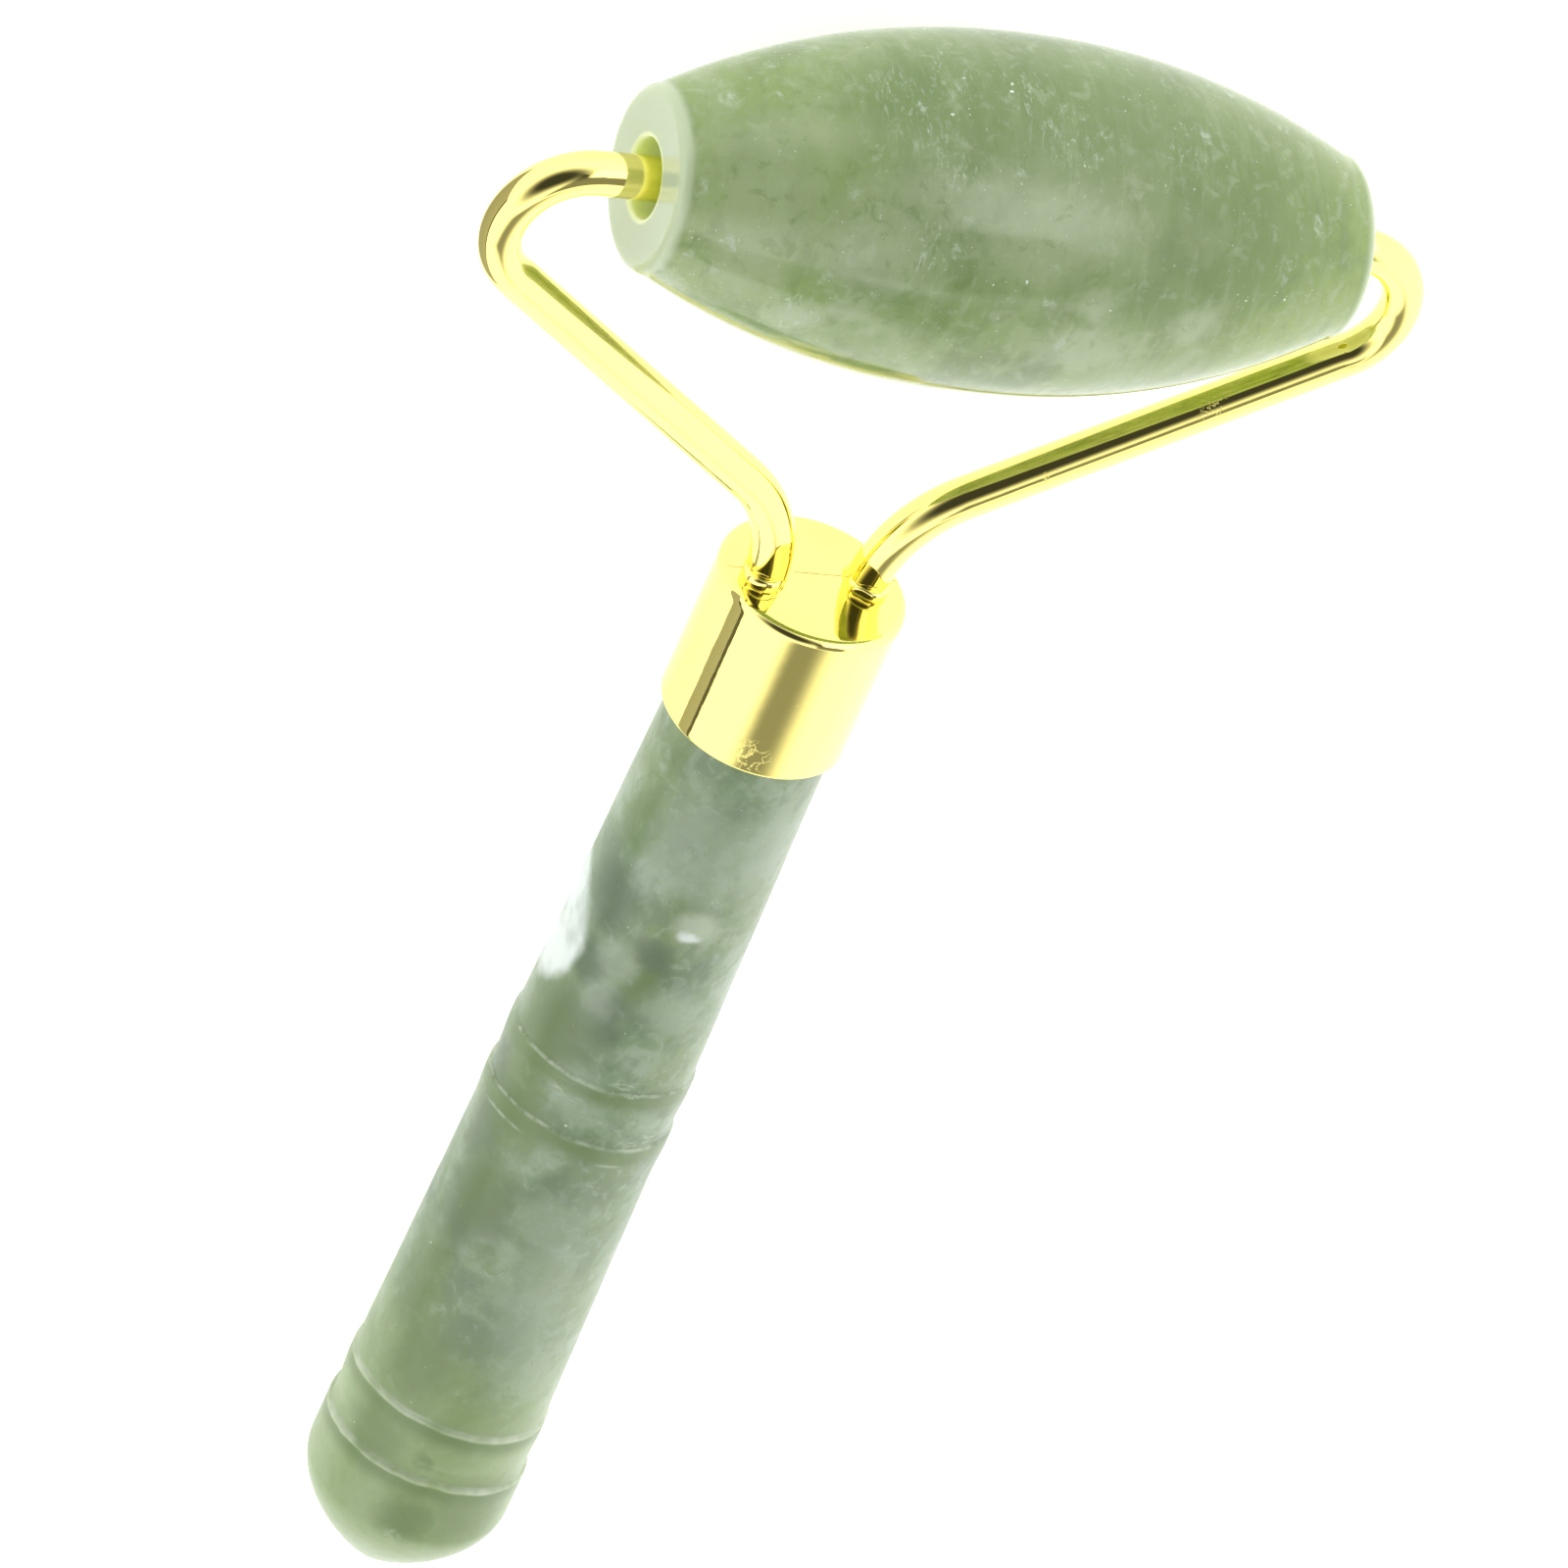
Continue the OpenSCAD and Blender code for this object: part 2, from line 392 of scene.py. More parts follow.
def roller_jade():
    """Apple-green jade: blurred patches, faint bands around the stone, clouds and white specks, with a painted
    highlight along its middle, painted light on its end faces and a painted glow in its bore.
    """
    g = Graph(bpy.data.materials.new("roller_jade"))
    own = g.place()
    drift = g.warped(own, 0.2, 5.0)
    edgy = g.warped(own, 0.45, 3.0, 5)
    x = g.axes(own)[0]

    patch = g.noise(drift, 0.1, 3, 0.5)
    colour = g.ramp(patch, [(0.36, ROLLER_DARK), (0.5, ROLLER_MID), (0.64, ROLLER_PALE)])
    ends = g.either(g.step(x, 8.0, 20.0, 0.0, 0.85), g.step(x, -12.0, -21.0, 0.0, 0.4))
    colour = g.mix(ends, colour, ROLLER_YELLOW)
    blotchy = g.noise(g.place(stretch=(1, 0.55, 0.55), offset=(9, 4, 2)), 0.3, 4, 0.55, 0.5)
    colour = g.mix(g.step(blotchy, 0.5, 0.66, 0.0, 0.55), colour, ROLLER_PALE)
    colour = g.mix(g.step(blotchy, 0.46, 0.34, 0.0, 0.5), colour, ROLLER_DARK)

    # The cloud marks include a painted highlight: long pale blots along the stone's middle that stand for a soft
    # reflection
    for marks, tone, strength in (
        (ROLLER_SHADES, ROLLER_DARK, 0.62),
        (ROLLER_GREENS, ROLLER_DEEP, 0.4),
        (ROLLER_CLOUDS_AND_HIGHLIGHT, ROLLER_CLOUD, 0.6),
    ):
        mask = g.either(*(
            g.blot(edgy, on_roller(at, angle), (long, wide, wide), 0.7)
            for at, angle, long, wide in marks
        ))
        colour = g.mix(g.both(mask, strength), colour, tone)

    bands = g.noise(g.place(stretch=(1.0, 0.12, 0.12)), 0.9, 4, 0.62)
    colour = g.mix(g.step(bands, 0.5, 0.7, 0.0, 0.35), colour, ROLLER_PALE)
    brushed = g.noise(g.place(stretch=(2.2, 0.5, 0.5)), 1.0, 5, 0.65, 0.6)
    colour = g.mix(g.step(brushed, 0.55, 0.75, 0.0, 0.3), colour, ROLLER_CLOUD)
    mottled = g.noise(own, 0.75, 6, 0.62, 0.5)
    colour = g.mix(g.step(mottled, 0.52, 0.7, 0.0, 0.35), colour, ROLLER_CLOUD)
    colour = g.mix(g.step(mottled, 0.46, 0.34, 0.0, 0.3), colour, ROLLER_DEEP)
    feather = g.step(g.noise(g.place(stretch=(2.4, 0.8, 0.8)), 1.0, 7, 0.75, 1.2), 0.52, 0.66)
    plumes = g.either(*(
        g.blot(own, on_roller(at, angle), (1.6, 2.2, 2.2), 0.6) for at, angle in ROLLER_WISPS
    ))
    colour = g.mix(g.both(feather, plumes, 0.7), colour, WHITE_VEIN)

    specks, smudges = crystal_specks(g, own, 0.5)
    face = g.step(g.maths("ABSOLUTE", x), stone_half - 1.1, stone_half - 0.3)
    specks = g.both(specks, g.maths("SUBTRACT", 1.0, face))
    colour = g.mix(g.both(smudges, 0.7), colour, WHITE_VEIN)
    colour = g.mix(g.both(specks, 0.75), colour, SPECK)
    # painted light: both end faces are turned a paler mint, standing for the light they reflect
    colour = g.mix(g.both(face, 0.9), colour, FACE_PAINTED_LIGHT)
    across = g.axes(own)
    out = g.maths("SQRT", g.maths("ADD", g.maths("POWER", across[1], 2.0),
                                  g.maths("POWER", across[2], 2.0)))
    # painted glow: the bore is made pale, standing for light that comes through the stone into it
    bore = g.step(out, bush_r + 0.5, bush_r + 0.1)
    colour = g.mix(bore, colour, BORE_PAINTED_GLOW)
    return jade_finish(g, own, colour, specks, 0.1, 0.17, 0.1)


def handle_jade():
    """Grey-green jade: olive and grey patches, a quartz window, a white spot, worn rings and painted shade in
    their grooves.
    """
    g = Graph(bpy.data.materials.new("handle_jade"))
    own = g.place()
    drift = g.warped(own, 0.3, 3.0)
    edgy = g.warped(own, 0.5, 2.2, 5)
    down = g.maths("MULTIPLY", g.axes(own)[1], -1.0)

    patch = g.noise(drift, 0.17, 3, 0.55)
    colour = g.ramp(patch, [(0.38, HANDLE_DARK), (0.5, HANDLE_MID), (0.62, HANDLE_PALE)])
    olive = g.noise(g.place(offset=(20, 5, 11)), 0.13, 3, 0.5)
    colour = g.mix(g.step(olive, 0.48, 0.62, 0.0, 0.6), colour, HANDLE_OLIVE)
    cloudy = g.noise(g.place(stretch=(1, 0.7, 1), offset=(3, 8, 1)), 0.42, 5, 0.55, 0.6)
    colour = g.mix(g.step(cloudy, 0.52, 0.68, 0.0, 0.5), colour, HANDLE_PALE)
    colour = g.mix(g.step(cloudy, 0.46, 0.34, 0.0, 0.55), colour, HANDLE_DARK)
    fleck = g.noise(g.place(stretch=(1, 0.8, 1), offset=(7, 2, 5)), 0.9, 6, 0.6, 0.8)
    colour = g.mix(g.step(fleck, 0.53, 0.68, 0.0, 0.4), colour, HANDLE_CLOUD)
    colour = g.mix(g.step(fleck, 0.46, 0.32, 0.0, 0.45), colour, HANDLE_MOSS)
    colour = g.mix(g.step(down, 62.0, 78.0, 0.0, 0.7), colour, HANDLE_YELLOW)

    for marks, tone, strength in (
        (HANDLE_DARKS, HANDLE_DEEP, 0.8),
        (HANDLE_OLIVES, HANDLE_MOSS, 0.7),
        (HANDLE_CLOUDS, HANDLE_CLOUD, 0.5),
    ):
        mask = g.either(*(
            g.blot(edgy, on_handle(d, angle), (wide, long, wide), 0.6)
            for d, angle, long, wide in marks
        ))
        colour = g.mix(g.both(mask, strength), colour, tone)

    specks, smudges = crystal_specks(g, own, 0.12)
    colour = g.mix(g.both(smudges, 0.35), colour, WHITE_VEIN)
    colour = g.mix(g.both(specks, 0.5), colour, SPECK)

    window = g.blot(g.warped(own, 0.35, 1.6, 4), QUARTZ_AT, QUARTZ_REACH, 0.12)
    milk = g.ramp(g.noise(own, 0.3, 3, 0.5), [(0.35, QUARTZ_DULL), (0.6, QUARTZ)])
    colour = g.mix(window, colour, milk)
    halo = g.blot(g.warped(own, 0.7, 1.0, 4), on_handle(*HALO_AT), (1.5, 1.3, 1.5), 0.5)
    colour = g.mix(g.both(halo, 0.85), colour, SPOT_HALO)
    spot = g.blot(g.warped(own, 1.0, 1.1, 5), on_handle(*SPOT_AT), (0.75, 0.45, 0.75), 0.5)
    colour = g.mix(g.both(spot, 0.9), colour, QUARTZ)

    scratchy = g.step(g.noise(g.place(stretch=(1.2, 5, 1.2)), 1.0, 6, 0.75), 0.5, 0.62)
    rub = g.either(*(
        g.blot(own, on_handle(d, angle), (1.5, 0.8, 1.5), 0.5) for d, angle in HANDLE_RUBS
    ))
    worn = g.maths("MAXIMUM", g.ring_marks(), 0.0)
    fine_ring = g.step(down, 62.0, 60.0)
    broken = g.step(g.noise(own, 1.3, 5, 0.7), 0.38, 0.56, 0.25)
    broken = g.either(broken, g.maths("SUBTRACT", 1.0, fine_ring))
    worn = g.either(g.both(worn, broken), g.both(rub, scratchy, 0.8))
    colour = g.mix(worn, colour, RING_LINE)
    # painted shade in each ring's groove, from the attribute's values below 0
    shade = g.maths("MAXIMUM", g.maths("MULTIPLY", g.ring_marks(), -1.0), 0.0)
    colour = g.mix(shade, colour, HANDLE_MOSS)
    return jade_finish(g, own, colour, g.either(specks, worn), 0.34, 0.44, 0.15)


def gilt(name, seed, scuffs=(), painted_reflection_line=False):
    """Bright gold plating: a mirror with faint waves and tiny pits, and scuffs, or a painted reflection: a thin
    dull line, also rough and dented, standing for a reflected edge.
    """
    g = Graph(bpy.data.materials.new(name))
    own = g.place()
    where = g.place(offset=(seed * 13.0, seed * 5.0, 0))
    scratch = g.noise(g.place(stretch=(3, 0.3, 3), offset=(seed, 0, 0)), 2.4, 5, 0.6)
    pits = g.spots(where, 1.2, 0.08, 0.14)
    tint = g.mix(g.noise(where, 0.3, 3, 0.5), (0.935, 0.81, 0.25), (0.955, 0.84, 0.28))
    colour = g.mix(g.both(pits, 0.8), tint, GOLD_DULL)
    flaws = pits
    if scuffs:
        rubbed = g.either(*(g.blot(own, at, (size,) * 3, 0.6) for at, size in scuffs))
        nicks = g.veins(where, 1.1, 0.02, 4.0)
        flaws = g.either(flaws, g.both(rubbed, nicks, 0.7))
    # painted reflection: a faint dull line across the top, standing for a reflected edge
    if painted_reflection_line:
        x, y, z = g.axes(own)
        line = g.step(g.maths("ABSOLUTE", g.maths("ADD", z, 0.5)), 0.05, 0.02)
        top = g.step(y, -0.1, -0.05)
        faint = g.step(g.noise(own, 1.1, 4, 0.7), 0.36, 0.5)
        painted_reflection = g.both(line, top, faint)
        colour = g.mix(g.both(painted_reflection, 0.75), colour, GOLD_DULL)
        flaws = g.either(flaws, painted_reflection)
    rough = g.maths("ADD", g.step(scratch, 0.45, 0.8, 0.03, 0.09), g.both(flaws, 0.3))
    relief = g.bump(g.noise(where, 0.5, 2, 0.5), 0.02, 0.45)
    relief = g.bump(flaws, -0.02, 0.6, under=relief)
    return g.surface(Base_Color=colour, Metallic=1.0, Roughness=rough, Normal=relief)


def nylon():
    """Natural nylon: milky, with faint moulding mottle."""
    g = Graph(bpy.data.materials.new("nylon"))
    own = g.place()
    mottle = g.noise(own, 0.8, 4, 0.55)
    colour = g.ramp(mottle, [(0.35, (0.8, 0.83, 0.62)), (0.65, (0.88, 0.9, 0.74))])
    rough = g.step(mottle, 0.3, 0.7, 0.38, 0.5)
    relief = g.bump(g.noise(own, 3.0, 4, 0.6), 0.01, 0.5)
    return g.surface(Base_Color=colour, Roughness=rough, Normal=relief,
                     Subsurface_Weight=0.5, Subsurface_Radius=(1, 1, 0.8),
                     Subsurface_Scale=1.0 * MM)


def epoxy():
    """Set epoxy: amber, glossy and slightly cloudy."""
    g = Graph(bpy.data.materials.new("epoxy"))
    cloudy = g.noise(g.place(), 0.6, 5, 0.6, 0.8)
    colour = g.ramp(cloudy, [(0.3, (0.42, 0.33, 0.14)), (0.7, (0.66, 0.58, 0.33))])
    return g.surface(Base_Color=colour, Roughness=g.step(cloudy, 0.3, 0.7, 0.12, 0.25),
                     Normal=g.bump(cloudy, 0.05, 0.5), IOR=1.55)


def pale_floor():
    """Plain white card, with the faintest tooth, lit a little from within to lift shadows."""
    g = Graph(bpy.data.materials.new("pale_floor"))
    tooth = g.noise(g.place(), 0.4, 4, 0.6)
    colour = g.ramp(tooth, [(0.3, (0.88, 0.88, 0.88)), (0.7, (0.9, 0.9, 0.9))])
    return g.surface(Base_Color=colour, Roughness=0.8, Normal=g.bump(tooth, 0.01, 0.3),
                     Emission_Color=(1, 1, 1, 1), Emission_Strength=FLOOR_GLOW)


# Light that the floor gives off
FLOOR_GLOW = 0.62
# Tones of the roller stone
ROLLER_DEEP = (0.11, 0.19, 0.03)
ROLLER_DARK = (0.14, 0.21, 0.06)
ROLLER_MID = (0.21, 0.295, 0.1)
ROLLER_PALE = (0.27, 0.35, 0.165)
ROLLER_CLOUD = (0.37, 0.44, 0.285)
ROLLER_YELLOW = (0.22, 0.32, 0.052)
# Painted light for the roller stone's end faces
FACE_PAINTED_LIGHT = (0.43, 0.5, 0.35)
# Painted glow for the bore of the roller stone
BORE_PAINTED_GLOW = (0.72, 0.82, 0.45)
WHITE_VEIN = (0.45, 0.53, 0.41)
SPECK = (0.8, 0.86, 0.78)
# Tones of the handle stone
HANDLE_DEEP = (0.08, 0.125, 0.065)
HANDLE_MOSS = (0.115, 0.18, 0.05)
HANDLE_DARK = (0.13, 0.19, 0.1)
HANDLE_MID = (0.175, 0.25, 0.13)
HANDLE_PALE = (0.255, 0.325, 0.22)
HANDLE_CLOUD = (0.31, 0.38, 0.285)
HANDLE_OLIVE = (0.18, 0.25, 0.095)
HANDLE_YELLOW = (0.245, 0.335, 0.125)
RING_LINE = (0.46, 0.51, 0.4)
QUARTZ = (0.62, 0.68, 0.64)
QUARTZ_DULL = (0.42, 0.48, 0.42)
SPOT_HALO = (0.4, 0.46, 0.34)
GOLD_DULL = (0.3, 0.2, 0.06)

# Marks on the roller stone: place along it, angle around it, half length and half width
ROLLER_GREENS = [
    (-6, 72, 4, 2.2), (4.5, 76, 3.5, 2), (10, 73, 3, 2), (-8.5, 86, 3, 2), (16, 64, 4, 2.5),
    (-1, 17, 7, 3.5), (-11, 14, 5, 3), (-20, 34, 2.5, 3), (12, 30, 5, 3), (20, 50, 3, 3),
]
ROLLER_SHADES = [(-6, 25, 7, 7), (4, 28, 6, 8), (9, 14, 6, 8), (9, 40, 4, 4), (15, 30, 5, 7),
                 (17, 12, 6, 6), (-3, 5, 9, 5)]
# Pale clouds in the stone; the long blots near angles 50 to 60 along the middle are a painted highlight
ROLLER_CLOUDS_AND_HIGHLIGHT = [
    (-1.5, 55, 6, 2.2), (-9, 50, 7, 2.2), (3, 79, 2, 1), (11, 88, 1.6, 1.4), (3, 98, 3, 1.6),
    (-16, 107, 1.6, 1.2), (-13, 95, 1.6, 1.2), (-23.5, 132, 1.4, 1.4), (-20, 60, 4, 5),
    (-20, 80, 3, 4), (-12, 68, 5, 4), (-2, 60, 6, 3.5),
]
ROLLER_WISPS = [(-10, 23), (-8, 39), (-11.5, 10), (-7.5, 6), (-2.5, 12), (-0.5, 25), (-9.5, 68),
                (9, 24), (-16, 107), (-23.5, 131)]
# Marks on the handle stone: place down it, angle around it, half length and half width
HANDLE_DARKS = [
    (27.2, 158, 3, 2.2), (33, 150, 2, 1.6), (36.5, 130, 2.5, 1.6), (30, 112, 1.6, 1.2),
    (50, 170, 4, 2), (56.5, 158, 4, 2), (46, 185, 2, 1.5), (39, 152, 3, 2.4), (56, 146, 2.5, 2),
]
HANDLE_OLIVES = [
    (21, 160, 2.2, 1.8), (25, 107, 0.8, 1.1), (32.7, 113, 1.8, 1.2), (40, 160, 4, 3.6),
    (47, 156, 4, 3), (55, 150, 3.5, 2.6), (64, 165, 5, 2.2), (70, 140, 4, 2),
    (78, 150, 2.5, 2.5), (82, 75, 3, 3), (83, 110, 2, 2), (77.7, 116, 0.4, 0.6),
]
HANDLE_CLOUDS = [
    (23, 137, 2.5, 1.4), (31.7, 135, 1.8, 1.3), (34.8, 135, 2, 1.2), (34.2, 90, 2, 2),
    (20, 112, 4, 3.5), (23, 100, 2.5, 1.8), (43, 125, 2, 1.6), (60, 95, 8, 2.6),
    (55, 105, 3, 1.8), (20, 75, 4, 2),
]
HANDLE_RUBS = [(41.7, 95), (43, 128), (46.5, 70)]
HALO_AT = (26.6, 96)
SPOT_AT = (27.5, 99)
QUARTZ_AT = (-6.6, -33.0, -3.0)
QUARTZ_REACH = (3.4, 5.4, 5.2)
FERRULE_SCUFFS = [((-2.5, -10.8, 6.1), 1.1)]
WIRE_SCUFFS = [((21.7, 19.0, 1.1), 0.9), ((12.0, 11.6, 1.2), 0.4)]


ROLLER_JADE = roller_jade()
HANDLE_JADE = handle_jade()
WIRE_GILT = gilt("gilt_wire", 1, WIRE_SCUFFS)
FERRULE_GILT = gilt("gilt_ferrule", 2, FERRULE_SCUFFS, painted_reflection_line=True)
SOLDER_GILT = gilt("gilt_solder", 3)
NYLON = nylon()
EPOXY = epoxy()


# ------------------------------------------------------------------ roller stone
def make_roller_stone():
    barrel_end = stone_half - STONE_EDGE
    bore = bush_r
    xs = np.linspace(-barrel_end, barrel_end, 181)
    end_r = float(stone_radius(barrel_end))
    rim = arc((end_r - STONE_EDGE * 0.9, barrel_end), STONE_EDGE * 0.9, 12, 90, 6)
    rim = [(r, barrel_end + (x - barrel_end) / 0.9) for r, x in rim]
    face = [(r, stone_half) for r in np.linspace(rim[-1][0], bore + BORE_EDGE, 20)[1:]]
    mouth = arc((bore + BORE_EDGE, stone_half - BORE_EDGE), BORE_EDGE, 90, 180, 5)[1:]
    right = rim + face + mouth
    left = [(r, -x) for r, x in reversed(right)]
    hole = [(bore, x) for x in np.linspace(mouth[-1][1], -mouth[-1][1], 60)[1:-1]]
    outline = [(float(stone_radius(x)), x) for x in xs] + right + hole + left

    def shift(angle, radius, along):
        y, z = radius * np.cos(angle), radius * np.sin(angle)
        outside = smooth(radius, bore + 0.5, bore + 1.5)
        waves = 0.02 * bumpy(along, y, z, 7.0, 1) + 0.006 * bumpy(along, y, z, 2.2, 2)
        return outside * waves, 0 * along

    points, faces = lathe(outline, 256, "across", closed=True, shift=shift)
    return piece("roller_stone_polished", points, faces, STONE, ROLLER,
                 "roller_stone", ROLLER_JADE)


# ------------------------------------------------------------------ bushes
def make_bush(side):
    low, high = bush_low.x / MM - slide, bush_high.x / MM - slide
    bore = WIRE_R + 0.05
    floor = low + 1.5
    edge = 0.25
    outline = (
        [(0, low), (bush_r - edge, low)]
        + arc((bush_r - edge, low + edge), edge, -90, 0, 4)[1:]
        + [(bush_r, x) for x in np.linspace(low + 1, high - 1, 8)]
        + arc((bush_r - edge, high - edge), edge, 0, 90, 4)
        + arc((bore + edge, high - edge), edge, 90, 180, 4)
        + [(bore, x) for x in np.linspace(high - 1, floor, 8)]
        + [(0, floor)]
    )
    points, faces = lathe([(r, side * x) for r, x in outline], 96, "across")
    word = "left" if side < 0 else "right"
    return piece(f"bush_{word}_moulded", points, faces, STONE, ROLLER,
                 f"bush_{word}", NYLON)


# ------------------------------------------------------------------ arms
def wire_path():
    """The right arm's centre line: places, directions, from the pin's end to the foot's end."""
    hook = np.array([fork_w / 2 - WIRE_R - HOOK_BEND_R, fork_h - HOOK_BEND_R])
    bend = np.array([FOOT_X + FOOT_BEND_R, 0.0])
    apart = hook - bend
    slope = math.atan2(apart[1], apart[0]) - math.asin(
        (HOOK_BEND_R + FOOT_BEND_R) / np.hypot(*apart))
    degrees = math.degrees(slope)
    pin_end = bush_low.x / MM + 1.65
    path = [(x, fork_h) for x in np.linspace(pin_end, hook[0], 24)[:-1]]
    path += arc(hook, HOOK_BEND_R, 90, degrees - 90, 40)
    leg_start = path[-1]
    low_bend = arc(bend, FOOT_BEND_R, degrees + 90, 180, 30)
    path += [tuple(p) for p in np.linspace(leg_start, low_bend[0], 60)[1:-1]]
    path += low_bend
    path += [(FOOT_X, y) for y in np.linspace(0, -FOOT_DEPTH, 8)[1:]]
    path = np.array(path)
    ahead = np.gradient(path, axis=0)
    return path, ahead / np.linalg.norm(ahead, axis=1)[:, None]


def make_arm(side):
    path, ahead = wire_path()
    around = 64
    angle = np.linspace(0, 2 * math.pi, around, endpoint=False)
    bent = np.abs(np.gradient(np.unwrap(np.arctan2(ahead[:, 1], ahead[:, 0]))))
    flat = 0.02 * smooth(bent, 0.01, 0.05)
    end_chamfer = 0.3
    travelled = np.concatenate([[0], np.cumsum(np.linalg.norm(np.diff(path, axis=0), axis=1))])
    taper = np.minimum(1, 1 - end_chamfer / WIRE_R * (1 - travelled / end_chamfer))
    across = WIRE_R * (1 - flat) * taper
    upright = WIRE_R * (1 + flat) * taper
    x = path[:, :1] - ahead[:, 1:] * np.cos(angle) * across[:, None]
    y = path[:, 1:] + ahead[:, :1] * np.cos(angle) * across[:, None]
    z = np.sin(angle) * upright[:, None]
    ripple = 1 + 0.004 * bumpy(x * side, y, z, 5.0, 5)
    x = path[:, :1] + (x - path[:, :1]) * ripple
    y = path[:, 1:] + (y - path[:, 1:]) * ripple
    points = np.stack([x * side, y, z * ripple], -1).reshape(-1, 3)
    rows = len(path)
    faces = [
        (i * around + j, i * around + (j + 1) % around,
         (i + 1) * around + (j + 1) % around, (i + 1) * around + j)
        for i in range(rows - 1) for j in range(around)
    ]
    faces += [tuple(range(around)), tuple(range((rows - 1) * around, rows * around))]
    word = "left" if side < 0 else "right"
    return piece(f"arm_{word}_bent", points, faces, FORK, HANDLE,
                 f"arm_{word}", WIRE_GILT)


def make_solder(side):
    """A shiny, lumpy drop of solder around the wire's foot."""
    middle, width, height = -0.25, 0.55, 0.5
    front = math.radians(115 if side < 0 else 95)
    outline = [(WIRE_R - 0.3 + width * r, middle + height * h)
               for r, h in arc((0, 0), 1, 90, -90, 20)]
    outline += [(WIRE_R - 0.4, middle - height), (WIRE_R - 0.4, middle + height)]

    def shift(angle, radius, along):
        x, y = radius * np.cos(angle), radius * np.sin(angle)
        drop = np.maximum(np.cos(angle - front), 0) ** 2
        lumps = bumpy(x, y, along + 9 * side, 1.2, 8)
        outer = smooth(radius, WIRE_R - 0.25, WIRE_R + 0.2)
        spread = outer * (0.35 * drop - 0.15 + 0.3 * lumps)
        lower = outer * smooth(along, middle + 0.3, middle - 0.3)
        return spread, lower * (0.3 * lumps - 0.3 * drop)

    points, faces = lathe(outline, 96, "down", closed=True, shift=shift)
    points = points + np.array([side * FOOT_X, 0, 0])
    word = "left" if side < 0 else "right"
    return piece(f"solder_{word}_bead", points, faces, FORK, HANDLE,
                 f"solder_{word}", SOLDER_GILT)


# ------------------------------------------------------------------ ferrule
def make_ferrule():
    """A drawn cup with a rounded top edge."""
    inner = ferrule_r - FERRULE_WALL
    edge = FERRULE_EDGE_R
    lip = 0.12
    outline = [(0, 0)] + [(r, 0) for r in np.linspace(0.5, ferrule_r - edge, 14)]
    outline += arc((ferrule_r - edge, edge), edge, -90, 0, 10)[1:]
    outline += [(ferrule_r, d) for d in np.linspace(edge + 0.2, ferrule_len - lip - 0.1, 70)]
    outline += arc((ferrule_r - lip, ferrule_len - lip), lip, 0, 90, 4)
    outline += arc((inner + lip, ferrule_len - lip), lip, 90, 180, 4)
    outline += [(inner, d) for d in np.linspace(ferrule_len - 0.5, FERRULE_TOP, 16)]
    outline += [(0, FERRULE_TOP)]

    def shift(angle, radius, along):
        x, y = radius * np.cos(angle), radius * np.sin(angle)
        side = smooth(radius, ferrule_r - 0.3, ferrule_r - 0.1)
        return side * 0.008 * bumpy(x, along, y, 4.0, 11), 0 * along

    points, faces = lathe(outline, 256, "down", shift=shift)
    return piece("ferrule_cup", points, faces, FORK, HANDLE,
                 "ferrule", FERRULE_GILT)


# ------------------------------------------------------------------ handle stone
def handle_radius(d):
    """The taper, with each carved ring stepping up and fading back."""
    radius = np.minimum(grip_radius(d), band_r)
    for i, ring in enumerate(rings):
        rise = smooth(d, ring - RING_RUN / 2, ring + RING_RUN / 2)
        last = i == len(rings) - 1
        hold = ring + RING_HOLD
        fade = 0 if last else smooth(d, hold, hold + RING_FADE)
        step = band_r - grip_radius(d) if last else RING_STEP
        radius = radius + step * rise * (1 - fade)
    return radius


def ring_wear_and_shade(along, angle):
    """Pale wear lines along the carved rings above 0, and painted shade on the far side of each groove below 0."""
    x, z = 6.5 * np.cos(angle), 6.5 * np.sin(angle)
    ring_marks = 0 * along + 0 * angle
    shade = ring_marks
    for i, ring in enumerate(rings):
        fine = i < 2
        width = 0.1 if fine else 0.22
        whole = smooth(bumpy(x, z, 0 * x, 2.2, 40 + i), -0.4, 0.3)
        chips = smooth(bumpy(x, along, z, 0.7, 60 + i), -0.3, 0.4)
        line = smooth(np.abs(along - ring), width * 1.8, width * 0.5)
        ring_marks = np.maximum(ring_marks, line * (0.25 + 0.45 * whole + 0.3 * chips) * 0.85)
        # painted shade: a dark band just past each ring, towards the tip, where the groove lies in shade
        groove = smooth(along - ring, 0.05, 0.3) * smooth(along - ring, 1.8, 0.7)
        shade = np.maximum(shade, 0.75 * groove)
    second = rings[1] + 1.4
    partly = smooth(bumpy(x, z, 0 * x, 4.0, 47), -0.1, 0.3)
    ring_marks = np.maximum(ring_marks, 0.45 * partly * smooth(np.abs(along - second), 0.16, 0.06))
    return ring_marks - shade * (1 - smooth(ring_marks, 0.0, 0.3))


